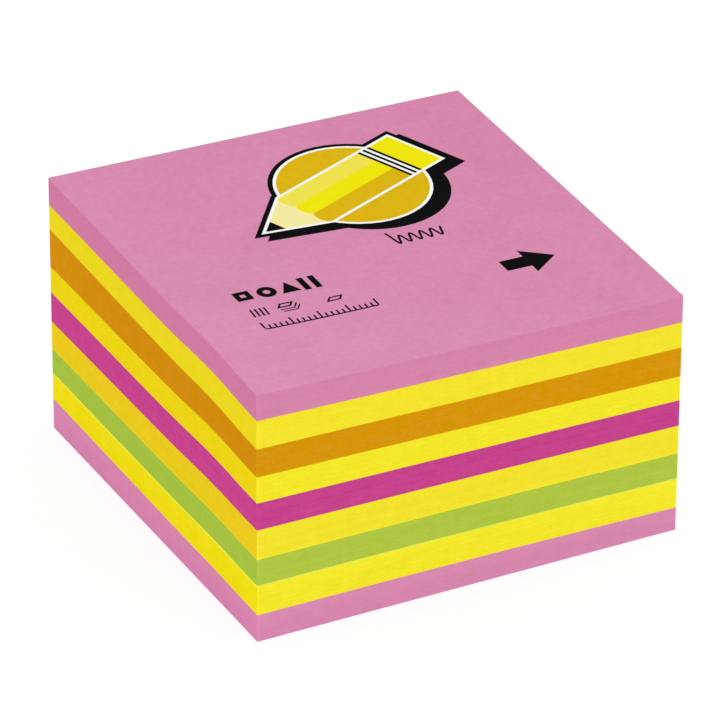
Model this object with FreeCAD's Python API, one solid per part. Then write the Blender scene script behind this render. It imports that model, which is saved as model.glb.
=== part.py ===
import FreeCAD, Part
import os

# A cube of sticky notes: square sheets in nine blocks of one colour each, stacked and trimmed as one pad.
# Every sheet is stuck to the one below along its back edge, and the pad stands on its bottom sheet.
#
# The pad's own frame, in millimetres: the origin is the middle of the underside, +Z is up, +X runs along
# the front edge of the notes and +Y points from that free edge to the glued edge at the back.
# Seen from the front left, the corners are: left at (-X, +Y), front at (-X, -Y) and right at (+X, -Y).

# The notes
NOTE_WIDTH = 76.0
NOTE_LENGTH = 76.0
SHEET_THICKNESS = 0.084
SHEETS_PER_BLOCK = 50

# The cut edge of a sheet is a flat band, which stands proud of the fine line where two sheets meet. The
# relief is how far it stands out, and the bevel is the height of the slope on each side of the band.
EDGE_RELIEF = 0.03
EDGE_BEVEL = 0.016

# Blocks from the bottom up, each with its slack in millimetres at the left, front and right corners. The
# slack is how much thicker the block stands there than its sheets would if they were pressed together:
# the glue strip adds to the back edge, and the orange notes have fanned out at the left corner.
BLOCKS = (
    ("bottom_pink_sheets", (1.4, 0.7, 0.0)),
    ("fourth_yellow_sheets", (0.8, 1.2, 1.3)),
    ("green_sheets", (0.3, 0.5, 0.4)),
    ("third_yellow_sheets", (1.0, 1.2, 1.0)),
    ("magenta_sheets", (1.3, 0.7, 0.5)),
    ("second_yellow_sheets", (0.6, 0.5, 0.2)),
    ("orange_sheets", (2.8, 0.8, 1.1)),
    ("first_yellow_sheets", (0.3, 0.9, 0.4)),
    ("top_pink_sheets", (0.7, 0.4, 0.6)),
)


def block_top(base, slack):
    """Corner heights of a block's top, over the corner heights of its base."""
    pressed = SHEETS_PER_BLOCK * SHEET_THICKNESS
    return tuple(height + pressed + extra for height, extra in zip(base, slack))


def level_between(lower, upper, share):
    """Corner heights of the level that lies this share of the way from one level to the next."""
    return tuple(low + (high - low) * share for low, high in zip(lower, upper))


def height_at(level, x, y):
    """Height of a flat, slightly tilted level over a point of the note."""
    left, front, right = level
    across = (x + NOTE_WIDTH / 2) / NOTE_WIDTH
    back = (y + NOTE_LENGTH / 2) / NOTE_LENGTH
    return front + (right - front) * across + (left - front) * back


def note_outline(level, inset):
    """Closed outline of the note on a level, drawn in from the cut edges by the inset."""
    half_width = NOTE_WIDTH / 2 - inset
    half_length = NOTE_LENGTH / 2 - inset
    points = []
    for side_x, side_y in ((-1, -1), (1, -1), (1, 1), (-1, 1), (-1, -1)):
        x = side_x * half_width
        y = side_y * half_length
        points.append(FreeCAD.Vector(x, y, height_at(level, x, y)))
    return Part.makePolygon(points)


def sheet_block(lower, upper):
    """One solid for a block of sheets, whose sides show the cut edge of every sheet as a fine ridge."""
    bevel = EDGE_BEVEL / SHEET_THICKNESS
    outlines = [note_outline(lower, EDGE_RELIEF)]
    for sheet in range(SHEETS_PER_BLOCK):
        for share, inset in ((bevel, 0.0), (1 - bevel, 0.0), (1, EDGE_RELIEF)):
            level = level_between(lower, upper, (sheet + share) / SHEETS_PER_BLOCK)
            outlines.append(note_outline(level, inset))
    return Part.makeLoft(outlines, True, True)


def main():
    os.makedirs("parts", exist_ok=True)
    base = (0.0, 0.0, 0.0)
    for name, slack in BLOCKS:
        top = block_top(base, slack)
        block = sheet_block(base, top)
        block.exportStep(f"parts/{name}.step")
        base = top


main()
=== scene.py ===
import math

import bpy
import numpy as np
from bpy.props import FloatProperty, FloatVectorProperty, IntProperty, PointerProperty
from mathutils import Matrix, Vector


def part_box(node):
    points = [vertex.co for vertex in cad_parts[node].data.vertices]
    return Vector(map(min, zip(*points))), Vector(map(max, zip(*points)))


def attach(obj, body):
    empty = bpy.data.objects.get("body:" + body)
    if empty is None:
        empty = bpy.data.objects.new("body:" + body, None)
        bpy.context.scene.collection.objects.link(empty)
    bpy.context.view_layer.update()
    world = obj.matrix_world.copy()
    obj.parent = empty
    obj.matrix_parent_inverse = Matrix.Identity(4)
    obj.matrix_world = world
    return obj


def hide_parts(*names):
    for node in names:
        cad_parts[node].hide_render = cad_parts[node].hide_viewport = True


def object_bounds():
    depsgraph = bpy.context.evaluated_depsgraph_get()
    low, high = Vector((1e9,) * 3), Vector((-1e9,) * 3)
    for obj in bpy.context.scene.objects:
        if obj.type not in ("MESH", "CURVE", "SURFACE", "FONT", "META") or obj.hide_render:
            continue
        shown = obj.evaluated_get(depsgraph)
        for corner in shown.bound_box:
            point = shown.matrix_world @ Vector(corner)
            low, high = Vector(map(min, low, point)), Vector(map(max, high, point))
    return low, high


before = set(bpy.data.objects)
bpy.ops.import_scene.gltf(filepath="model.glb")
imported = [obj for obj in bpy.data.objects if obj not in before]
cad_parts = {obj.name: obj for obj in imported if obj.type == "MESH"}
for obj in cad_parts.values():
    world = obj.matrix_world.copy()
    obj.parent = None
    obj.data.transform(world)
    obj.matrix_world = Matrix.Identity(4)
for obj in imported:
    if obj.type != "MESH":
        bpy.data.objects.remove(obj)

# The looks of a cube of sticky notes: every sheet's cut edge, the dyed papers and the print on the top sheet.
# Metres throughout. +Z is up, -Y is the notes' free front edge and +Y the glued edge at the back.

bl_info = {
    "name": "Sticky note cube",
    "version": (1, 0, 0),
    "blender": (4, 5, 0),
    "location": "3D View > Sidebar > Sticky Notes",
    "description": "Builds a cube of coloured sticky notes with a printed top sheet",
    "category": "Object",
}

CAD_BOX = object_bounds()
MM = 0.001
WHITE = (1.0, 1.0, 1.0, 1.0)

# Blocks from the bottom up: the node that each stands for, its paper and the record's slot for it
BLOCKS = (
    # The bottom block's edges are the upper pink paper painted lighter, to make up for the floor's shade near
    # the bottom
    ("bottom_pink_sheets", "pale_pink", "pink_paper"),
    ("fourth_yellow_sheets", "lemon", "yellow_paper"),
    ("green_sheets", "green", "green_paper"),
    ("third_yellow_sheets", "warm_yellow", "yellow_paper"),
    ("magenta_sheets", "magenta", "magenta_paper"),
    ("second_yellow_sheets", "clear_yellow", "yellow_paper"),
    ("orange_sheets", "orange", "orange_paper"),
    ("first_yellow_sheets", "yellow", "yellow_paper"),
    ("top_pink_sheets", "pink", "pink_paper"),
)

# The block whose topmost sheets stand proud of the cut, how many of them do, and by what share of the drift
PROUD_BLOCK = "fourth_yellow_sheets"
PROUD_SHEETS = 3
PROUD_SHARE = 0.5


# Sizes and colours that a user may change


def colour(name, default, description):
    """A colour property, given as it looks on the screen."""
    return FloatVectorProperty(
        name=name, description=description, default=default, size=3, min=0, max=1, subtype="COLOR_GAMMA"
    )


def left_colour(name, default):
    """The colour of the same edges on the left side: the same paper retinted as painted light for how the
    light falls on that side.
    """
    return colour(f"{name}, left", default, "The same on the left side")


def length(name, millimetres, description):
    """A length property, given in millimetres."""
    return FloatProperty(
        name=name, description=description, default=millimetres * MM, unit="LENGTH", precision=5
    )


def rises(name, millimetres, description):
    """A small length for the top of each block, bottom block first."""
    return FloatVectorProperty(
        name=name, description=description, default=tuple(value * MM for value in millimetres),
        size=len(millimetres), unit="LENGTH", precision=5,
    )


def angle(name, degrees, description):
    """An angle property, given in degrees."""
    return FloatProperty(name=name, description=description, default=math.radians(degrees), subtype="ANGLE")


def share(name, default, description, most=1.0):
    """A property that runs from nothing to the most that works."""
    return FloatProperty(
        name=name, description=description, default=default, min=0, max=most, precision=3, subtype="FACTOR"
    )


class StickyNoteStack(bpy.types.PropertyGroup):
    """Sizes of the stacked and trimmed sheets."""

    sheets: IntProperty(name="Sheets", description="Sheets in each block", default=50, min=PROUD_SHEETS)
    relief: length("Edge relief", 0.030, "How far a cut edge stands proud of the lines between sheets")
    glued_relief: length("Glued edge relief", 0.014, "The same at the back, where glue fills the lines")
    bevel: share("Edge bevel", 0.18, "Share of a sheet's thickness in each of its edge's bevels", most=0.5)
    corner: length("Corner radius", 0.16, "Rounding of the upright corners")
    stagger: length("Stagger", 0.005, "Typical offset of one sheet from the next")
    drift: length("Drift", 0.018, "Slow waver of the trimmed faces")
    spacing: share("Spacing", 0.20, "Unevenness of the gaps between sheets", most=0.5)
    left_swell: rises(
        "Left swell", (0.10, 0.21, 0.28, 0.30, 0.45, 0.52, 0.45, 0.56, 0.48),
        "Rise of each block's top near the front of the left side, bottom block first",
    )
    front_swell: rises(
        "Front swell", (0.22, 0.19, 0.18, 0.09, 0.06, 0.02, -0.05, -0.09, -0.08),
        "Rise of each block's top at the middle of the front side, bottom block first",
    )
    swell_reach: length("Swell reach", 13.0, "How far a swell runs in from the edge")
    seed: IntProperty(name="Seed", description="Chooses the sheets' small offsets", default=7)


class StickyNotePapers(bpy.types.PropertyGroup):
    """Colours of the papers' cut edges and faces."""

    pink: colour("Pink", (0.870, 0.562, 0.712), "Cut edges of the upper pink sheets")
    # Each paper's left copy is the same paper retinted as painted light, for how the light falls on the left
    # side
    pink_left: left_colour("Pink", (0.877, 0.538, 0.703))
    # Painted light: the lowest pink sheets are the same paper as the upper ones, painted lighter to cancel
    # the shade near the floor
    pale_pink: colour("Pale pink", (0.889, 0.588, 0.750), "Cut edges of the lower pink sheets")
    pale_pink_left: left_colour("Pale pink", (0.917, 0.592, 0.772))
    yellow: colour("Yellow", (0.974, 0.921, 0.197), "Cut edges of the highest yellow sheets")
    yellow_left: left_colour("Yellow", (0.979, 0.908, 0.135))
    clear_yellow: colour("Clear yellow", (0.975, 0.936, 0.183), "Cut edges between orange and magenta")
    clear_yellow_left: left_colour("Clear yellow", (0.983, 0.900, 0.079))
    lemon: colour("Lemon", (0.978, 0.942, 0.190), "Cut edges of the lowest yellow sheets")
    lemon_left: left_colour("Lemon", (1.0, 0.941, 0.079))
    warm_yellow: colour("Warm yellow", (0.972, 0.920, 0.202), "Cut edges between magenta and green")
    warm_yellow_left: left_colour("Warm yellow", (0.979, 0.862, 0.125))
    orange: colour("Orange", (0.873, 0.623, 0.038), "Cut edges of the orange sheets")
    orange_left: left_colour("Orange", (0.883, 0.603, 0.018))
    magenta: colour("Magenta", (0.814, 0.289, 0.593), "Cut edges of the magenta sheets")
    magenta_left: left_colour("Magenta", (0.841, 0.298, 0.613))
    green: colour("Green", (0.733, 0.822, 0.296), "Cut edges of the green sheets")
    green_left: left_colour("Green", (0.712, 0.830, 0.301))
    proud_edge: colour("Proud edge", (0.942, 0.952, 0.325), "Cut edges of the sheets that stand proud")
    proud_edge_left: left_colour("Proud edge", (0.987, 0.995, 0.315))
    pink_face: colour("Pink face", (0.858, 0.570, 0.706), "Open faces of the pink sheets at the front")
    # Painted shade: the pink face's colour at the far corner, darker because less light falls there; the top
    # blends to it from the front
    pink_face_far: colour("Pink face, far", (0.846, 0.532, 0.676), "The same at the far corner")
    mottle: share("Mottle", 0.071, "Strength of the open faces' mottling")
    grain: share("Grain", 0.080, "Strength of the cut edges' specks and streaks")
    # Painted highlight: how much lighter the strips along the pad's arrises are painted, standing in for the
    # light that they catch
    wear: share("Wear", 0.06, "How much lighter the pad's worn arrises are")


class StickyNotePrint(bpy.types.PropertyGroup):
    """Sizes and inks of the print on the top sheet."""

    ink_thickness: length("Ink thickness", 0.006, "Thickness of one layer of ink")
    ink_step: length("Ink step", 1.5, "Largest face of a printed shape, so that it follows the paper")
    emblem_x: length("Emblem X", 5.0, "Middle of the pencil picture, across the sheet")
    emblem_y: length("Emblem Y", 15.6, "Middle of the pencil picture, towards the glued edge")
    emblem_turn: angle("Emblem turn", 24, "Slant of the pencil")
    keyline: length("Keyline", 0.55, "Width of the white line round the picture")
    outline: length("Outline", 0.85, "Width of the black line outside the keyline")
    rows_x: length("Rows X", -27.7, "Left end of the three rows of small signs")
    bold_y: length("Bold row Y", -12.0, "Foot of the row of bold signs")
    bold_height: length("Bold height", 3.9, "Height of the bold signs")
    fine_y: length("Fine row Y", -16.8, "Foot of the row of fine signs")
    fine_height: length("Fine height", 2.5, "Height of the tally strokes")
    scale_y: length("Scale Y", -21.0, "Foot of the printed scale")
    scale_length: length("Scale length", 20.0, "Length of the printed scale, one tick a millimetre")
    pen: length("Pen", 0.34, "Width of the fine lines")
    black: colour("Black", (0.018, 0.019, 0.026), "Black ink")
    white: colour("White", (0.985, 0.985, 0.975), "White ink")
    pale: colour("Pale yellow", (0.953, 0.894, 0.314), "Light side of the pencil")
    bright: colour("Bright yellow", (0.945, 0.912, 0.020), "Middle of the pencil, and its rubber")
    amber: colour("Amber", (0.870, 0.714, 0.055), "Dark side of the pencil, and the badge")
    wood: colour("Wood", (0.965, 0.925, 0.640), "Sharpened wood of the pencil")


class StickyNoteStage(bpy.types.PropertyGroup):
    """The camera, the light and the floor."""

    azimuth: angle("Azimuth", -27.6, "Camera's turn about the pad")
    elevation: angle("Elevation", 29.35, "Camera's height angle")
    roll: angle("Roll", 0.32, "Camera's roll")
    distance: length("Distance", 1011, "From the camera to the point that it aims at")
    aim_height: length("Aim height", 22.5, "Height of the point that the camera aims at")
    slide_right: length("Slide right", -0.16, "Camera's step to its right")
    slide_up: length("Slide up", -0.24, "Camera's step upwards")
    lens: FloatProperty(name="Lens", description="Focal length", default=310.25, unit="CAMERA")
    sensor: FloatProperty(name="Sensor", description="Width of the sensor", default=36, unit="CAMERA")
    sky: FloatProperty(name="Sky", description="Strength of the even white light", default=0.916)
    key: FloatProperty(name="Key", description="Strength of the soft lamp on the right", default=0.34)
    key_width: angle("Key width", 60, "How wide the soft lamp looks from the pad")
    key_direction: FloatVectorProperty(
        name="Key direction", description="Where the soft lamp shines", default=(-0.30, 0.90, -0.55),
        size=3, subtype="DIRECTION",
    )
    floor_size: length("Floor size", 4000, "Side of the square floor")
    floor_gap: length("Floor gap", 0.02, "Depth of the floor below the pad, so that no faces coincide")
    floor_grey: share("Floor grey", 0.92, "Tone of the floor where it is lit")
    floor_white: share("Floor white", 0.76, "Share of plain white in the floor")
    floor_glow: FloatProperty(name="Floor glow", description="Strength of that plain white", default=1.08)


def new_object(name, data):
    """An object in the scene's own collection."""
    made = bpy.data.objects.new(name, data)
    bpy.context.scene.collection.objects.link(made)
    return made


# Geometry of the stack

# Points along each side of a note, bends in each of its corners, and bands of faces on a sheet's cut edge
SIDE_STEPS = 30
CORNER_BENDS = 2
SHEET_BANDS = 3

# Rings of faces from a block's rim to its middle, and a power above one that crowds them towards the rim
CAP_RINGS = 26
CAP_POWER = 1.3

# The left side's swell: its peak, its spread and where it begins, as shares of the way from front to back
LEFT_PEAK = 0.215
LEFT_SPREAD = 0.135
LEFT_START = 0.12

# The trimmed sides' slow waver up a block: the curves that make it, the waves in each and their phase
DRIFT_CURVES = 4
DRIFT_WAVES = 9
DRIFT_PHASE = 0.3

# Weights of the random values behind the drift, a whole sheet's offset and the waves in its edge
DRIFT_WEIGHT = 0.5
OFFSET_WEIGHT = 0.8
WAVE_WEIGHT = 0.5

# Waves in one sheet's edge, and the most that a gap strays from an even share, in standard deviations
SHEET_WAVES = 6
MOST_STRAY = 1.8

# An edge whose outward normal has less than this along X is on the left side
LEFT_FACING = -0.9

# Places in a block's list of materials
CUT_EDGE, OPEN_FACE, PROUD_EDGE = range(3)


class Level:
    """A surface between two blocks, or the stack's top or underside, over the notes' outline."""

    def __init__(self, corners, left_rise, front_rise):
        self.corners = corners
        self.left_rise = left_rise
        self.front_rise = front_rise

    def height(self, x, y, stack):
        """Heights over arrays of places: a tilted plane with a swell on the left and the front side."""
        low, high = CAD_BOX
        across = (x - low.x) / (high.x - low.x)
        back = (y - low.y) / (high.y - low.y)
        front_left, front_right, back_right, back_left = self.corners
        front = front_left + (front_right - front_left) * across
        rear = back_left + (back_right - back_left) * across
        flat = front + (rear - front) * back
        left_fade = np.exp(-((x - low.x) / stack.swell_reach) ** 2)
        front_fade = np.exp(-((y - low.y) / stack.swell_reach) ** 2)
        left_hump = np.exp(-((back - LEFT_PEAK) / LEFT_SPREAD) ** 2) * np.clip(back / LEFT_START, 0, 1)
        front_hump = np.sin(math.pi * np.clip(across, 0, 1))
        return flat + self.left_rise * left_hump * left_fade + self.front_rise * front_hump * front_fade


def corner_heights(cad_node, pick):
    """Heights of a CAD block's lowest or highest points at its corners, anticlockwise from front left."""
    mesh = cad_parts[cad_node].data
    points = np.array([v.co for v in mesh.vertices])
    low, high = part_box(cad_node)
    reach = 0.2 * MM
    heights = []
    for x, y in ((low.x, low.y), (high.x, low.y), (high.x, high.y), (low.x, high.y)):
        near = (abs(points[:, 0] - x) < reach) & (abs(points[:, 1] - y) < reach)
        heights.append(float(pick(points[near, 2])))
    return heights


def block_levels(stack):
    """The ten levels of the stack, from the underside to the top."""
    levels = [Level(corner_heights(BLOCKS[0][0], np.min), 0.0, 0.0)]
    for (cad_node, _, _), left, front in zip(BLOCKS, stack.left_swell, stack.front_swell):
        levels.append(Level(corner_heights(cad_node, np.max), left, front))
    return levels


def note_ring(stack):
    """Points and outward normals round a note, anticlockwise, with rounded corners."""
    low, high = CAD_BOX
    corners = ((high.x, low.y, -90), (high.x, high.y, 0), (low.x, high.y, 90), (low.x, low.y, 180))
    inner_x, inner_y = high.x - stack.corner, high.y - stack.corner
    centres = [Vector((math.copysign(inner_x, x), math.copysign(inner_y, y))) for x, y, _ in corners]
    places = []
    for index, (_, _, start) in enumerate(corners):
        for bend in range(CORNER_BENDS + 1):
            turn = math.radians(start + 90 * bend / CORNER_BENDS)
            normal = Vector((math.cos(turn), math.sin(turn)))
            places.append((centres[index] + normal * stack.corner, normal))
        begin = places[-1][0]
        finish = centres[(index + 1) % 4] + normal * stack.corner
        for step in range(1, SIDE_STEPS):
            places.append((begin.lerp(finish, step / SIDE_STEPS), normal))
    points = np.array([tuple(place) for place, _ in places])
    normals = np.array([tuple(normal) for _, normal in places])
    return points, normals


def wavy(count, waves, rng):
    """A smooth closed random curve, about one unit high."""
    turn = np.linspace(0, 2 * math.pi, count, endpoint=False)
    total = np.zeros(count)
    for wave in range(1, waves + 1):
        total += rng.normal() * np.sin(wave * turn + rng.uniform(0, 2 * math.pi))
    return total / math.sqrt(waves)


def squeezed(value):
    """A value of any size brought between nothing and one."""
    return 0.5 * (1 + np.tanh(value))


def sheet_rings(stack, normals, rng, proud):
    """Insets and shares of the height of the rings that draw every sheet's edge, and each band's tone."""
    around = len(normals)
    back_share = np.clip(normals[:, 1], 0, 1) ** 2
    relief = stack.relief * (1 - back_share) + stack.glued_relief * back_share
    gaps = 1 + stack.spacing * np.clip(rng.normal(size=stack.sheets), -MOST_STRAY, MOST_STRAY)
    edges = np.concatenate([[0], np.cumsum(gaps) / gaps.sum()])
    curves = [wavy(around, DRIFT_WAVES, rng) for _ in range(DRIFT_CURVES)]
    insets = [relief]
    shares = [0.0]
    tones = []
    for sheet in range(stack.sheets):
        at = sheet / stack.sheets + DRIFT_PHASE
        drift = sum(curve * math.cos(math.pi * order * at) for order, curve in enumerate(curves))
        inset = stack.drift * squeezed(DRIFT_WEIGHT * drift)
        offset = OFFSET_WEIGHT * rng.normal() + WAVE_WEIGHT * wavy(around, SHEET_WAVES, rng)
        inset = inset + 2 * stack.stagger * squeezed(offset)
        tone = rng.normal()
        if proud and sheet >= stack.sheets - PROUD_SHEETS:
            inset = inset - PROUD_SHARE * stack.drift
        lower, upper = edges[sheet], edges[sheet + 1]
        slope = stack.bevel * (upper - lower)
        insets += [inset, inset, inset + relief]
        shares += [lower + slope, upper - slope, upper]
        tones += [tone] * SHEET_BANDS
    return np.maximum(np.array(insets), 0), np.array(shares), np.array(tones)


def block_rings(lower, upper, outline, insets, shares, stack):
    """Rings of points up a block's sides, then those on its underside and those on its top."""
    points, normals = outline
    rings = []
    for inset, part in zip(insets, shares):
        x, y = (points - normals * inset[:, None]).T
        low = lower.height(x, y, stack)
        high = upper.height(x, y, stack)
        rings.append(np.column_stack([x, y, low + (high - low) * part]))
    for level, rim in ((lower, rings[0]), (upper, rings[-1])):
        for ring in range(1, CAP_RINGS):
            x, y = rim.T[:2] * (1 - (ring / CAP_RINGS) ** CAP_POWER)
            rings.append(np.column_stack([x, y, level.height(x, y, stack)]))
    return rings


def block_faces(side_rings, around):
    """Faces up a block's sides, then those of its underside and its top, whose middles come last."""
    here = np.arange(around)
    there = (here + 1) % around

    def strip(first, second):
        """Faces between two rings, given by the numbers of their first points."""
        return np.column_stack([first + here, first + there, second + there, second + here])

    quads = [strip(row * around, (row + 1) * around) for row in range(side_rings - 1)]
    fans = []
    inner = side_rings * around
    middle = inner + 2 * (CAP_RINGS - 1) * around
    for rim, on_top in ((0, False), ((side_rings - 1) * around, True)):
        outer = rim
        for _ in range(1, CAP_RINGS):
            quads.append(strip(outer, inner) if on_top else strip(inner, outer))
            outer = inner
            inner += around
        ends = (outer + here, outer + there) if on_top else (outer + there, outer + here)
        fans.append(np.column_stack([*ends, np.full(around, middle)]))
        middle += 1
    return np.concatenate(quads).tolist() + np.concatenate(fans).tolist()


def face_attribute(mesh, name, values):
    """A number on each face of the sides, and nothing on the underside and the top."""
    numbers = np.zeros(len(mesh.polygons), np.float32)
    numbers[:len(values)] = values
    mesh.attributes.new(name, "FLOAT", "FACE").data.foreach_set("value", numbers)


def block_mesh(name, lower, upper, stack, rng, proud):
    """A closed mesh of one block: the ridged sides, then a cap of shrinking rings at each end."""
    points, normals = note_ring(stack)
    around = len(points)
    insets, shares, tones = sheet_rings(stack, normals, rng, proud)
    rings = block_rings(lower, upper, (points, normals), insets, shares, stack)
    middles = [(0.0, 0.0, float(level.height(0.0, 0.0, stack))) for level in (lower, upper)]
    vertices = np.concatenate([*rings, np.array(middles)])
    mesh = bpy.data.meshes.new(name)
    mesh.from_pydata(vertices.tolist(), [], block_faces(len(insets), around))
    # Faces on the left side, whose edges get the left side's painted light
    on_left = (normals[:, 0] < LEFT_FACING) & (np.roll(normals[:, 0], -1) < LEFT_FACING)
    face_attribute(mesh, "sheet_tone", np.repeat(tones, around))
    face_attribute(mesh, "left_side", np.tile(on_left, len(tones)))
    side_count = len(tones) * around
    materials = np.full(len(mesh.polygons), OPEN_FACE, np.int32)
    materials[:side_count] = CUT_EDGE
    if proud:
        materials[side_count - SHEET_BANDS * PROUD_SHEETS * around:side_count] = PROUD_EDGE
    mesh.polygons.foreach_set("material_index", materials)
    mesh.polygons.foreach_set("use_smooth", materials == OPEN_FACE)
    mesh.update()
    mesh.validate()
    return mesh


# Materials

# Share of a paper's mottling that is plain grey, because fibres take up the dye unevenly
UNEVEN_DYE = 0.46

# Matt uncoated stock: its roughness, the little gloss that it has and the depth of its relief
PAPER_ROUGHNESS = 0.88
PAPER_GLOSS = 0.04
RELIEF_DEPTH = 0.02 * MM

# Strength of that relief on an open face, a cut edge and ink
FACE_RELIEF = 0.35
EDGE_RELIEF = 0.25
INK_RELIEF = 0.2

# Mottling of ink by the fibres under it: of black ink, and how much more of the lightest
DARK_INK_MOTTLE = 0.008
PALE_INK_MOTTLE = 0.026

# Width of the strip along an arris that gets a painted highlight, and that painted highlight on an open
# face's rim as a share of an edge's
ARRIS_WIDTH = 0.5 * MM
RIM_HIGHLIGHT = 0.5

# Noises of an open face, each with its scale and detail, and the fibres' stretch and roughness
FIBRE_STRETCH = (0.45, 1.0, 1.0)
FACE_FIBRES = 2600, 3, 0.6
FACE_SPECKS = 900, 2
FACE_CLOUDS = 120, 2
CLOUD_SHARE = 0.75

# Noises of the cut edges: the stretch along X, Y and Z, the scale and the share of each in the tone, and the
# detail of all. Each sheet's own tone has a share too.
EDGE_SPECKS = (0.5, 0.5, 1.3), 1900, 0.65
EDGE_STREAKS = (0.06, 0.06, 1.0), 5200, 0.25
BLADE_MARKS = (1.0, 1.0, 0.05), 1400, 0.25
EDGE_CLOUDS = (0.7, 0.7, 1.3), 480, 0.55
EDGE_DETAIL = 2
SHEET_TONE_SHARE = 0.04

# Sockets of the groups that give a paper its colour and its relief
PAPER_INPUTS = (
    ("Color", "NodeSocketColor", WHITE),
    ("Second Color", "NodeSocketColor", WHITE),
    ("Strength", "NodeSocketFloat", 0.03),
    ("Wear", "NodeSocketFloat", 0.0),
)
PAPER_OUTPUTS = (("Color", "NodeSocketColor"), ("Height", "NodeSocketFloat"))


def linear(rgb):
    """Screen colour to the linear values that a shader takes."""
    steps = [c / 12.92 if c <= 0.04045 else ((c + 0.055) / 1.055) ** 2.4 for c in rgb]
    return (*steps, 1.0)


def fill_inputs(tree, made, inputs):
    """Set a node's inputs to plain values, or link them to other nodes' sockets."""
    for key, value in inputs.items():
        if isinstance(value, bpy.types.NodeSocket):
            tree.links.new(value, made.inputs[key])
        else:
            made.inputs[key].default_value = value


def node(tree, kind, place, inputs=None, **values):
    """A node at a place in the editor, with its properties and then its inputs set."""
    made = tree.nodes.new(kind)
    made.location = place
    for key, value in values.items():
        setattr(made, key, value)
    fill_inputs(tree, made, inputs or {})
    return made


def math_node(tree, operation, place, first, second):
    """The result of a Math node from two sockets or plain numbers."""
    return node(tree, "ShaderNodeMath", place, {0: first, 1: second}, operation=operation).outputs[0]


def vector_node(tree, operation, place, inputs):
    """The result of a Vector Math node."""
    return node(tree, "ShaderNodeVectorMath", place, inputs, operation=operation).outputs[0]


def new_group(name, inputs, outputs):
    """A shader node group with its sockets, its two end nodes and the object's own coordinates."""
    group = bpy.data.node_groups.new(name, "ShaderNodeTree")
    for label, kind, value in inputs:
        socket = group.interface.new_socket(label, in_out="INPUT", socket_type=kind)
        socket.default_value = value
    for label, kind in outputs:
        group.interface.new_socket(label, in_out="OUTPUT", socket_type=kind)
    start = node(group, "NodeGroupInput", (-900, 0))
    finish = node(group, "NodeGroupOutput", (1500, 0))
    coordinates = node(group, "ShaderNodeTexCoord", (-900, -250)).outputs["Object"]
    return group, start, finish, coordinates


def stretched(tree, vector, place, stretch):
    """Coordinates multiplied along X, Y and Z, where a number below one draws a noise out."""
    return node(tree, "ShaderNodeMapping", place, {"Vector": vector, "Scale": stretch}).outputs["Vector"]


def noise_node(tree, vector, place, scale, detail, roughness=0.5):
    """A Noise Texture's grey value, with its middle moved to zero."""
    inputs = {"Vector": vector, "Scale": scale, "Detail": detail, "Roughness": roughness}
    noise = node(tree, "ShaderNodeTexNoise", place, inputs)
    return math_node(tree, "SUBTRACT", (place[0] + 180, place[1]), noise.outputs["Fac"], 0.5)


def arris_group():
    """Masks of the strips along the pad's arrises that get a painted highlight: the upright corners, and the
    rim of an open face.
    """
    group, start, finish, coordinates = new_group(
        "Pad arris",
        (("Reach", "NodeSocketFloat", ARRIS_WIDTH),),
        (("Corner", "NodeSocketFloat"), ("Rim", "NodeSocketFloat")),
    )
    split = node(group, "ShaderNodeSeparateXYZ", (-700, -250), {"Vector": coordinates})
    depths = []
    for row, (axis, half) in enumerate((("X", CAD_BOX[1].x), ("Y", CAD_BOX[1].y))):
        size = math_node(group, "ABSOLUTE", (-520, -150 * row), split.outputs[axis], 0.0)
        depths.append(math_node(group, "SUBTRACT", (-360, -150 * row), half, size))
    for label, pick, height in (("Corner", "MAXIMUM", 0), ("Rim", "MINIMUM", -200)):
        depth = math_node(group, pick, (-180, height), *depths)
        inputs = {"Value": depth, "From Max": start.outputs["Reach"], "To Min": 1.0, "To Max": 0.0}
        fade = node(group, "ShaderNodeMapRange", (0, height), inputs, interpolation_type="SMOOTHSTEP")
        group.links.new(fade.outputs["Result"], finish.inputs[label])
    return group


def blended(group, start, amount, place):
    """The group's two colours mixed by an amount."""
    mix = node(group, "ShaderNodeMix", place, {0: amount}, data_type="RGBA")
    first, second = (socket for socket in mix.inputs if socket.type == "RGBA")
    group.links.new(start.outputs["Color"], first)
    group.links.new(start.outputs["Second Color"], second)
    return next(socket for socket in mix.outputs if socket.type == "RGBA")


def finish_paper(group, start, finish, amount, noise, height, arris):
    """Fill a paper group's outputs: two colours mixed by an amount, mottled by noise and with a painted
    highlight along an arris.
    """
    change = math_node(group, "MULTIPLY", (480, 0), noise, start.outputs["Strength"])
    even = math_node(group, "ADD", (620, 0), change, 1.0)
    masks = node(group, "ShaderNodeGroup", (480, -200), node_tree=shared_group("Pad arris", arris_group))
    # Painted highlight: the arris mask lifts the tone where light would catch the edge
    lift = math_node(group, "MULTIPLY", (660, -200), masks.outputs[arris], start.outputs["Wear"])
    tone = math_node(group, "ADD", (820, -200), lift, even)
    paper = blended(group, start, amount, (480, 350))
    dyed = vector_node(group, "SCALE", (900, 100), {0: paper, "Scale": tone})
    grey = math_node(group, "MULTIPLY", (900, -100), change, UNEVEN_DYE)
    total = vector_node(group, "ADD", (1080, 100), {0: dyed, 1: grey})
    positive = vector_node(group, "MAXIMUM", (1260, 100), {0: total})
    fill_inputs(group, finish, {"Color": positive, "Height": height})


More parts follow.
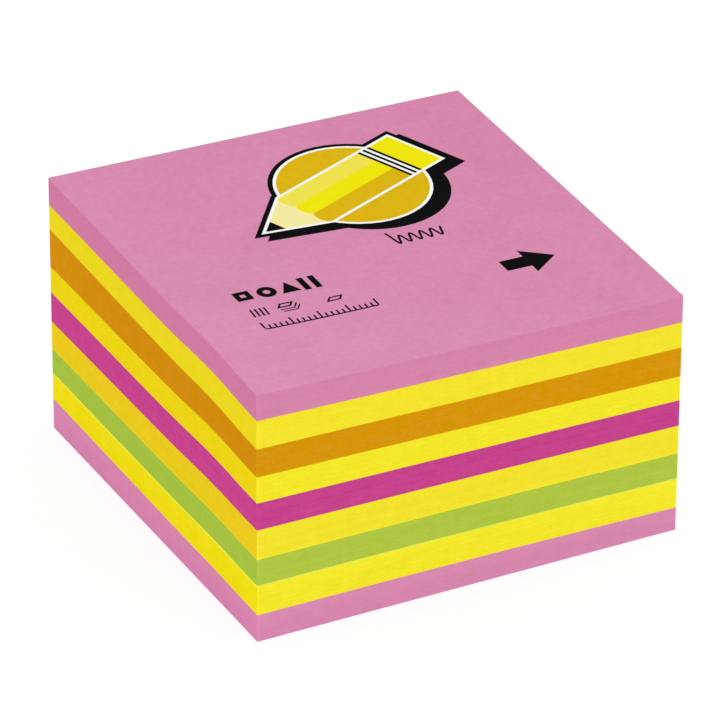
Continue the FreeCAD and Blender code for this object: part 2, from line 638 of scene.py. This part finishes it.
def paper_fibre_group():
    """An open face: fine fibres and specks over soft clouds, blended towards the second colour at the far
    corner, which paints shade there where the two colours differ.
    """
    group, start, finish, coordinates = new_group("Paper fibre", PAPER_INPUTS, PAPER_OUTPUTS)
    drawn_out = stretched(group, coordinates, (-700, -250), FIBRE_STRETCH)
    fibres = noise_node(group, drawn_out, (-480, 150), *FACE_FIBRES)
    specks = noise_node(group, coordinates, (-480, -100), *FACE_SPECKS)
    clouds = noise_node(group, coordinates, (-480, -350), *FACE_CLOUDS)
    faint_clouds = math_node(group, "MULTIPLY", (-120, -350), clouds, CLOUD_SHARE)
    fine = math_node(group, "ADD", (0, 100), fibres, specks)
    noise = math_node(group, "ADD", (160, 0), fine, faint_clouds)
    # Blend from the front corner to the far one, where the second colour paints shade
    split = node(group, "ShaderNodeSeparateXYZ", (-200, 450), {"Vector": coordinates})
    away = math_node(group, "ADD", (0, 450), split.outputs["X"], split.outputs["Y"])
    near, far = (corner.x + corner.y for corner in CAD_BOX)
    inputs = {"Value": away, "From Min": near, "From Max": far}
    amount = node(group, "ShaderNodeMapRange", (160, 450), inputs).outputs["Result"]
    finish_paper(group, start, finish, amount, noise, fine, "Rim")
    return group


def edge_noise(group, coordinates, row, stretch, scale, weight):
    """One of the cut edges' noises, on its own row of the editor."""
    y = -250 * row
    drawn_out = stretched(group, coordinates, (-700, y), stretch)
    noise = noise_node(group, drawn_out, (-480, y), scale, EDGE_DETAIL)
    return math_node(group, "MULTIPLY", (-120, y), noise, weight)


def sheet_edge_group():
    """Cut edges: specks, streaks, clouds and a tone for each sheet, with the second colour on the left, where
    it paints the light that falls on that side.
    """
    group, start, finish, coordinates = new_group("Sheet edge", PAPER_INPUTS, PAPER_OUTPUTS)
    noises = (EDGE_SPECKS, EDGE_STREAKS, BLADE_MARKS, EDGE_CLOUDS)
    specks, streaks, blade_marks, clouds = (
        edge_noise(group, coordinates, row, *noise) for row, noise in enumerate(noises)
    )
    sheet = node(group, "ShaderNodeAttribute", (-480, -1000), attribute_name="sheet_tone")
    sheet_tone = math_node(group, "MULTIPLY", (-120, -1000), sheet.outputs["Fac"], SHEET_TONE_SHARE)
    lines = math_node(group, "ADD", (60, -150), streaks, blade_marks)
    rough = math_node(group, "ADD", (200, 0), lines, specks)
    soft = math_node(group, "ADD", (60, -600), clouds, sheet_tone)
    noise = math_node(group, "ADD", (340, -100), rough, soft)
    # The left side's faces take the second colour, painted light for that side
    side = node(group, "ShaderNodeAttribute", (200, 350), attribute_name="left_side")
    finish_paper(group, start, finish, side.outputs["Fac"], noise, rough, "Corner")
    return group


def shared_group(name, build):
    """The node group of that name, built the first time."""
    return bpy.data.node_groups.get(name) or build()


def paper_material(name, rgbs, group, strength, wear, relief):
    """Matt uncoated stock in two colours, which a shared group spreads over it and breaks up."""
    made = bpy.data.materials.new(name)
    made.use_nodes = True
    made.diffuse_color = linear(rgbs[0])
    tree = made.node_tree
    inputs = {"Strength": strength, "Wear": wear, "Color": linear(rgbs[0]), "Second Color": linear(rgbs[1])}
    texture = node(tree, "ShaderNodeGroup", (-420, 200), inputs, node_tree=group).outputs
    inputs = {"Strength": relief, "Distance": RELIEF_DEPTH, "Height": texture["Height"]}
    bump = node(tree, "ShaderNodeBump", (-220, -150), inputs)
    fill_inputs(tree, tree.nodes["Principled BSDF"], {
        "Base Color": texture["Color"],
        "Normal": bump.outputs["Normal"],
        "Roughness": PAPER_ROUGHNESS,
        "Specular IOR Level": PAPER_GLOSS,
    })
    return made


def face_material(name, rgbs, papers):
    """The open faces of a block, whose colour may change towards the far corner, which paints shade there,
    and whose rim gets a painted highlight.
    """
    fibre = shared_group("Paper fibre", paper_fibre_group)
    # The open face's rim gets a share of the edges' painted highlight
    wear = RIM_HIGHLIGHT * papers.wear
    return paper_material(f"{name} sheet face", rgbs, fibre, papers.mottle, wear, FACE_RELIEF)


def edge_material(name, rgbs, papers):
    """The cut edges of a block, in one colour for the left side and one for the rest, the left one painting
    how the light falls on that side.
    """
    edge = shared_group("Sheet edge", sheet_edge_group)
    # The cut edges get the full painted highlight at the upright corners
    return paper_material(f"{name} cut edges", rgbs, edge, papers.grain, papers.wear, EDGE_RELIEF)


def block_materials(name, paper, slot, proud, papers):
    """A block's materials, in the order of CUT_EDGE, OPEN_FACE and, in the proud block, PROUD_EDGE."""
    edge_rgb = getattr(papers, paper)
    pink_rgbs = (papers.pink_face, papers.pink_face_far)
    face_rgbs = pink_rgbs if slot == "pink_paper" else (edge_rgb, edge_rgb)
    made = [
        edge_material(name, (edge_rgb, getattr(papers, f"{paper}_left")), papers),
        face_material(name, face_rgbs, papers),
    ]
    if proud:
        made.append(edge_material(f"{name} proud", (papers.proud_edge, papers.proud_edge_left), papers))
    return made


def ink_material(name, rgb):
    """Matt ink that lets the paper's fibres show through a little, and less so where it is dark."""
    fibre = shared_group("Paper fibre", paper_fibre_group)
    mottle = DARK_INK_MOTTLE + PALE_INK_MOTTLE * max(rgb)
    return paper_material(f"{name} ink", (rgb, rgb), fibre, mottle, 0.0, INK_RELIEF)


# Print on the top sheet


def rectangle(x0, y0, x1, y1):
    """Corners of an upright rectangle, anticlockwise."""
    return [Vector((x0, y0)), Vector((x1, y0)), Vector((x1, y1)), Vector((x0, y1))]


def circle(centre, radius, steps=48):
    """Points round a circle, anticlockwise."""
    middle = Vector(centre)
    turns = [2 * math.pi * step / steps for step in range(steps)]
    return [middle + Vector((math.cos(turn), math.sin(turn))) * radius for turn in turns]


def turned(points, turn, centre):
    """Points turned about the origin and moved to a centre."""
    spin = Matrix.Rotation(turn, 2)
    return [spin @ Vector(point) + Vector(centre) for point in points]


def grown(points, amount):
    """A convex anticlockwise outline with every side moved out by an amount."""
    normals = []
    for first, second in zip(points, points[1:] + points[:1]):
        run = (second - first).normalized()
        normals.append(Vector((run.y, -run.x)))
    result = []
    for point, before, after in zip(points, normals[-1:] + normals, normals):
        result.append(point + (before + after) * amount / (1 + before.dot(after)))
    return result


def divided(points, step, closed=True):
    """A line with points added so that no stretch is longer than the step."""
    ends = points[1:] + points[:1] if closed else points[1:]
    result = []
    for first, second in zip(points, ends):
        parts = max(1, math.ceil((second - first).length / step))
        result += [first.lerp(second, part / parts) for part in range(parts)]
    return result if closed else result + [points[-1]]


def top_surface(stack):
    """A function that gives the height of the pad's top over a point."""
    top = block_levels(stack)[-1]
    return lambda x, y: float(top.height(x, y, stack))


class Ink:
    """Flat printed shapes in one ink, gathered into one mesh that follows the top sheet."""

    def __init__(self, layer, settings, surface):
        self.base = layer * settings.ink_thickness
        self.top = self.base + settings.ink_thickness
        self.step = settings.ink_step
        self.surface = surface
        self.vertices = []
        self.faces = []

    def lines(self, *lines):
        """The lines' points on the underside and again on the top of the ink: the first index of each."""
        starts = []
        for rise in (self.base, self.top):
            for line in lines:
                starts.append(len(self.vertices))
                self.vertices += [(x, y, self.surface(x, y) + rise) for x, y in line]
        return starts

    def face(self, first, second, here, there):
        """A face between two lines, given by their first indices, from one of their points to another."""
        self.faces.append((first + here, first + there, second + there, second + here))

    def fill(self, outline):
        """A convex anticlockwise outline, filled in rings round its middle."""
        outline = divided(outline, self.step)
        count = len(outline)
        middle = sum(outline, Vector((0, 0))) / count
        rings = max(1, math.ceil(max((point - middle).length for point in outline) / self.step))
        lines = [[middle.lerp(point, 1 - ring / rings) for point in outline] for ring in range(rings)]
        starts = self.lines(*lines, [middle])
        low, high = starts[:rings + 1], starts[rings + 1:]
        for here in range(count):
            there = (here + 1) % count
            self.face(low[0], high[0], here, there)
            for ring in range(1, rings):
                self.face(high[ring - 1], high[ring], here, there)
                self.face(low[ring], low[ring - 1], here, there)
            self.faces.append((high[rings - 1] + here, high[rings - 1] + there, high[rings]))
            self.faces.append((low[rings - 1] + there, low[rings - 1] + here, low[rings]))

    def band(self, right, left, closed):
        """A band between two lines of as many points, with the left line on the inside of a closed band."""
        low_right, low_left, high_right, high_left = self.lines(right, left)
        edges = (low_right, high_right, high_left, low_left)
        count = len(right)
        for here in range(count if closed else count - 1):
            for first, second in zip(edges, edges[1:] + edges[:1]):
                self.face(first, second, here, (here + 1) % count)
        if not closed:
            self.faces.append(edges)
            self.faces.append(tuple(edge + count - 1 for edge in reversed(edges)))

    def stroke(self, points, width):
        """A pen line along points."""
        points = divided(points, self.step, closed=False)
        right, left = [], []
        for index, point in enumerate(points):
            before = points[max(index - 1, 0)]
            after = points[min(index + 1, len(points) - 1)]
            run = (after - before).normalized()
            side = Vector((-run.y, run.x)) * width / 2
            right.append(point - side)
            left.append(point + side)
        self.band(right, left, closed=False)

    def loop(self, outline, width):
        """A closed pen line just inside a convex anticlockwise outline."""
        self.band(outline, grown(outline, -width), closed=True)

    def piece(self, name, rgb):
        """The finished mesh piece, riding on the pad."""
        mesh = bpy.data.meshes.new(name)
        mesh.from_pydata(self.vertices, [], self.faces)
        mesh.update()
        mesh.materials.append(ink_material(name, rgb))
        made = new_object(name, mesh)
        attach(made, "root")
        return made


def pencil_picture(settings):
    """The picture's parts: the name, the layer of ink from the paper up, the ink and the shapes."""
    centre = Vector((settings.emblem_x, settings.emblem_y))
    badge = circle(centre + Vector((1.6, 0.2)) * MM, 12.6 * MM)
    shadow_step = Vector((1.5, -1.7)) * MM
    rim = settings.keyline + settings.outline
    tip, shoulder, ferrule, rubber, end = (value * MM for value in (-20.3, -10.2, 10.3, 13.3, 18.3))
    half = 5.6 * MM
    third = half / 3
    bulge = 0.9 * MM
    bulge_steps = 12
    lead = 3.0 * MM
    lead_half = half * lead / (shoulder - tip)
    band = (rubber - ferrule) / 5

    def placed(points):
        """Points along and across the pencil, put in their places on the sheet."""
        return turned(points, settings.emblem_turn, centre)

    def shadow(shape):
        """The shadow of a shape with its outline."""
        return [point + shadow_step for point in grown(shape, rim)]

    def stripe(low, high):
        """A stripe of paint along the pencil that bulges into the sharpened wood."""
        middle = (low + high) / 2
        arc = []
        for step in range(bulge_steps + 1):
            turn = math.pi * step / bulge_steps
            arc.append((shoulder - bulge * math.sin(turn), middle + third * math.cos(turn)))
        return placed([(ferrule, low), (ferrule, high), *arc])

    pencil = placed([(tip, 0), (shoulder, -half), (end, -half), (end, half), (shoulder, half)])
    point = placed([(tip, 0), (tip + lead, -lead_half), (tip + lead, lead_half)])
    bands = []
    for step in (0, 2, 4):
        near = ferrule + band * step
        bands.append(placed(rectangle(near, -half, near + band, half)))
    return (
        ("badge_shadow", 0, "black", shadow(badge)),
        ("badge_outline", 2, "black", grown(badge, rim)),
        ("pencil_shadow", 1, "black", shadow(pencil)),
        ("pencil_outline", 3, "black", grown(pencil, rim)),
        ("badge_keyline", 4, "white", grown(badge, settings.keyline)),
        ("badge", 5, "amber", badge),
        ("pencil_keyline", 6, "white", grown(pencil, settings.keyline)),
        ("pencil_wood", 7, "wood", placed([(tip, 0), (shoulder, -half), (shoulder, half)])),
        ("pencil_light", 8, "pale", stripe(third, half)),
        ("pencil_middle", 8, "bright", stripe(-third, third)),
        ("pencil_dark", 8, "amber", stripe(-half, -third)),
        ("pencil_lead", 8, "black", point),
        ("pencil_bands", 8, "black", *bands),
        ("pencil_rubber", 7, "bright", placed(rectangle(rubber, -half, end, half))),
    )


def print_bold_row(ink, settings):
    """A bold square, ring, triangle and pair of bars, drawn in shares of the row's height."""
    tall = settings.bold_height
    foot = settings.bold_y
    pitch = 3.85 * MM
    left = settings.rows_x
    ink.loop(rectangle(left, foot + 0.2 * tall, left + 0.72 * tall, foot + 0.92 * tall), 0.24 * tall)
    left += pitch
    ink.loop(circle((left + 0.42 * tall, foot + 0.5 * tall), 0.42 * tall, 24), 0.26 * tall)
    left += pitch
    corners = ((0, 0.1), (0.84, 0.1), (0.42, 0.95))
    ink.fill([Vector((left + x * tall, foot + y * tall)) for x, y in corners])
    left += pitch
    for bar in range(2):
        start = left + 0.5 * tall * bar
        ink.fill(rectangle(start, foot, start + 0.28 * tall, foot + tall))


def print_fine_row(ink, settings):
    """Four tally strokes, a little stack of sheets and one loose sheet, each sheet a plain lozenge."""
    row = Vector((settings.rows_x, settings.fine_y))
    rise = Vector((0.2 * MM, settings.fine_height))
    for stroke in range(4):
        start = row + Vector((0.2 + 0.8 * stroke, 0)) * MM
        ink.stroke([start, start + rise], settings.pen)
    sheet_corners = ((0, 0), (2.5, 0), (3.4, 1.3), (0.9, 1.3))
    lift = Vector((0.3, -0.62)) * MM
    for left, below in ((5.2, 2), (12.8, 0)):
        corner = row + Vector((left, 0)) * MM - lift * below
        shape = [corner + Vector(place) * MM for place in sheet_corners]
        ink.loop(shape, settings.pen)
        for sheet in range(1, below + 1):
            ink.stroke([place + lift * sheet for place in shape[:3]], 0.8 * settings.pen)


def print_scale(ink, settings):
    """A short scale with a tick for each millimetre and a longer one for every fifth."""
    left = settings.rows_x
    foot = settings.scale_y
    middle = foot + settings.pen / 2
    long_tick, short_tick = 2.3 * MM, 1.4 * MM
    ticks = round(settings.scale_length / MM)
    ink.stroke([Vector((left, middle)), Vector((left + settings.scale_length, middle))], settings.pen)
    for tick in range(ticks + 1):
        start = left + settings.scale_length * tick / ticks - settings.pen / 2
        rise = short_tick if tick % 5 else long_tick
        ink.fill(rectangle(start, foot + settings.pen, start + settings.pen, foot + rise))


def print_scribble(ink, settings):
    """A tall stroke that runs out in a pen's wave."""
    left, foot = 3.7 * MM, -4.7 * MM
    pitch, tall = 1.9 * MM, 2.5 * MM
    first_tall = 1.55 * tall
    waves, steps = 5, 24
    points = []
    for step in range(waves * steps + 1):
        turn = step / steps
        height = first_tall if turn < 0.5 else tall
        rise = 0.5 * height * (1 + math.cos(2 * math.pi * turn))
        points.append(Vector((left + pitch * turn, foot + rise)))
    ink.stroke(points, 1.25 * settings.pen)


def print_arrow(ink, settings):
    """A bold arrow that points along the front edge."""
    tail, neck, tip = 16.2 * MM, 20.6 * MM, 25.6 * MM
    middle, half_shaft, half_head = -18.0 * MM, 1.6 * MM, 3.6 * MM
    ink.fill(rectangle(tail, middle - half_shaft, neck, middle + half_shaft))
    head = ((neck, middle - half_head), (tip, middle), (neck, middle + half_head))
    ink.fill([Vector(corner) for corner in head])


class STICKYNOTES_OT_sheet_blocks(bpy.types.Operator):
    """Build every block of sheets in place of its plain solid"""

    bl_idname = "stickynotes.sheet_blocks"
    bl_label = "Sheet blocks"

    def execute(self, context):
        stack = context.scene.sticky_note_stack
        papers = context.scene.sticky_note_papers
        rng = np.random.default_rng(stack.seed)
        levels = block_levels(stack)
        for (cad_node, paper, slot), lower, upper in zip(BLOCKS, levels, levels[1:]):
            name = cad_node.replace("sheets", "notes")
            proud = cad_node == PROUD_BLOCK
            mesh = block_mesh(name, lower, upper, stack, rng, proud)
            for material in block_materials(name, paper, slot, proud, papers):
                mesh.materials.append(material)
            made = new_object(name, mesh)
            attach(made, "root")
            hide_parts(cad_node)
        return {"FINISHED"}


class STICKYNOTES_OT_pencil_print(bpy.types.Operator):
    """Print the pencil picture in the middle of the top sheet"""

    bl_idname = "stickynotes.pencil_print"
    bl_label = "Pencil print"

    def execute(self, context):
        settings = context.scene.sticky_note_print
        surface = top_surface(context.scene.sticky_note_stack)
        for name, layer, colour_name, *shapes in pencil_picture(settings):
            ink = Ink(layer, settings, surface)
            for shape in shapes:
                ink.fill(shape)
            ink.piece(f"print_{name}", getattr(settings, colour_name))
        return {"FINISHED"}


class STICKYNOTES_OT_small_print(bpy.types.Operator):
    """Print the small plain signs on the top sheet"""

    bl_idname = "stickynotes.small_print"
    bl_label = "Small print"

    def execute(self, context):
        settings = context.scene.sticky_note_print
        surface = top_surface(context.scene.sticky_note_stack)
        for draw in (print_bold_row, print_fine_row, print_scale, print_scribble, print_arrow):
            ink = Ink(0, settings, surface)
            draw(ink, settings)
            ink.piece(draw.__name__, settings.black)
        return {"FINISHED"}


# The stage


def seen_directly(tree):
    """One where a ray comes from the camera, a gloss or a see-through surface, otherwise nothing."""
    ray = node(tree, "ShaderNodeLightPath", (-600, 300)).outputs
    first = math_node(tree, "MAXIMUM", (-380, 300), ray["Is Camera Ray"], ray["Is Glossy Ray"])
    return math_node(tree, "MAXIMUM", (-200, 300), first, ray["Is Transmission Ray"])


def mixed_shaders(tree, amount, first, second, output):
    """Send two shaders, mixed by an amount, to an output node's surface."""
    inputs = {0: amount, 1: first.outputs[0], 2: second.outputs[0]}
    mix = node(tree, "ShaderNodeMixShader", (300, 150), inputs)
    tree.links.new(mix.outputs[0], tree.nodes[output].inputs["Surface"])


def place_camera(scene, stage):
    """A long lens that looks down at the pad from its front left corner."""
    turn, lift = stage.azimuth, stage.elevation
    back = Vector((math.sin(turn) * math.cos(lift), -math.cos(turn) * math.cos(lift), math.sin(lift)))
    level = Vector((math.cos(turn), math.sin(turn), 0))
    up = back.cross(level)
    right = level * math.cos(stage.roll) + up * math.sin(stage.roll)
    above = up * math.cos(stage.roll) - level * math.sin(stage.roll)
    data = bpy.data.cameras.new("Camera")
    data.sensor_width = stage.sensor
    data.lens = stage.lens
    data.clip_start = 0.05
    camera = new_object("Camera", data)
    aim = Vector((0, 0, stage.aim_height))
    place = aim + back * stage.distance + right * stage.slide_right + above * stage.slide_up
    camera.matrix_world = Matrix.Translation(place) @ Matrix((right, above, back)).transposed().to_4x4()
    scene.camera = camera


def place_light(scene, stage):
    """An even white room, seen as plain white, and one wide soft lamp."""
    world = bpy.data.worlds.new("White room")
    world.use_nodes = True
    tree = world.node_tree
    sky = tree.nodes["Background"]
    fill_inputs(tree, sky, {"Color": WHITE, "Strength": stage.sky})
    seen = node(tree, "ShaderNodeBackground", (0, -150), {"Color": WHITE})
    mixed_shaders(tree, seen_directly(tree), sky, seen, "World Output")
    scene.world = world
    lamp = bpy.data.lights.new("Soft lamp", "SUN")
    lamp.energy = stage.key
    lamp.angle = stage.key_width
    holder = new_object("Soft lamp", lamp)
    holder.rotation_euler = Vector(stage.key_direction).to_track_quat("-Z", "Y").to_euler()


def place_floor(stage):
    """A matt white floor that keeps part of the pad's shadow."""
    half = stage.floor_size / 2
    corners = rectangle(-half, -half, half, half)
    mesh = bpy.data.meshes.new("Floor")
    mesh.from_pydata([(x, y, -stage.floor_gap) for x, y in corners], [], [(0, 1, 2, 3)])
    material = bpy.data.materials.new("White floor")
    material.use_nodes = True
    tree = material.node_tree
    matt = tree.nodes["Principled BSDF"]
    grey = (*[stage.floor_grey] * 3, 1.0)
    fill_inputs(tree, matt, {"Base Color": grey, "Roughness": 1.0, "Specular IOR Level": 0.0})
    white = node(tree, "ShaderNodeEmission", (0, -150), {"Strength": stage.floor_glow})
    amount = math_node(tree, "MULTIPLY", (0, 300), seen_directly(tree), stage.floor_white)
    mixed_shaders(tree, amount, matt, white, "Material Output")
    mesh.materials.append(material)
    floor = new_object("Floor", mesh)


class STICKYNOTES_OT_stage(bpy.types.Operator):
    """Set up the camera, the light and the white floor"""

    bl_idname = "stickynotes.stage"
    bl_label = "Stage"

    def execute(self, context):
        scene = context.scene
        stage = scene.sticky_note_stage
        place_camera(scene, stage)
        place_light(scene, stage)
        place_floor(stage)
        scene.view_settings.view_transform = "Standard"
        return {"FINISHED"}


class STICKYNOTES_PT_panel(bpy.types.Panel):
    """Buttons and sizes of the sticky note cube"""

    bl_idname = "STICKYNOTES_PT_panel"
    bl_label = "Sticky Notes"
    bl_space_type = "VIEW_3D"
    bl_region_type = "UI"
    bl_category = "Sticky Notes"

    def draw(self, context):
        for operator in OPERATORS:
            self.layout.operator(operator.bl_idname)
        for name in GROUPS:
            box = self.layout.box()
            settings = getattr(context.scene, name)
            for key in settings.__annotations__:
                box.prop(settings, key)


GROUPS = {
    "sticky_note_stack": StickyNoteStack,
    "sticky_note_papers": StickyNotePapers,
    "sticky_note_print": StickyNotePrint,
    "sticky_note_stage": StickyNoteStage,
}
OPERATORS = (
    STICKYNOTES_OT_sheet_blocks,
    STICKYNOTES_OT_pencil_print,
    STICKYNOTES_OT_small_print,
    STICKYNOTES_OT_stage,
)


CLASSES = (*GROUPS.values(), *OPERATORS, STICKYNOTES_PT_panel)


def register():
    for made in CLASSES:
        bpy.utils.register_class(made)
    for name, group in GROUPS.items():
        setattr(bpy.types.Scene, name, PointerProperty(type=group))


def unregister():
    for name in GROUPS:
        delattr(bpy.types.Scene, name)
    for made in reversed(CLASSES):
        bpy.utils.unregister_class(made)


def main():
    register()
    bpy.ops.stickynotes.sheet_blocks()
    bpy.ops.stickynotes.pencil_print()
    bpy.ops.stickynotes.small_print()
    bpy.ops.stickynotes.stage()


if __name__ == "__main__":
    main()
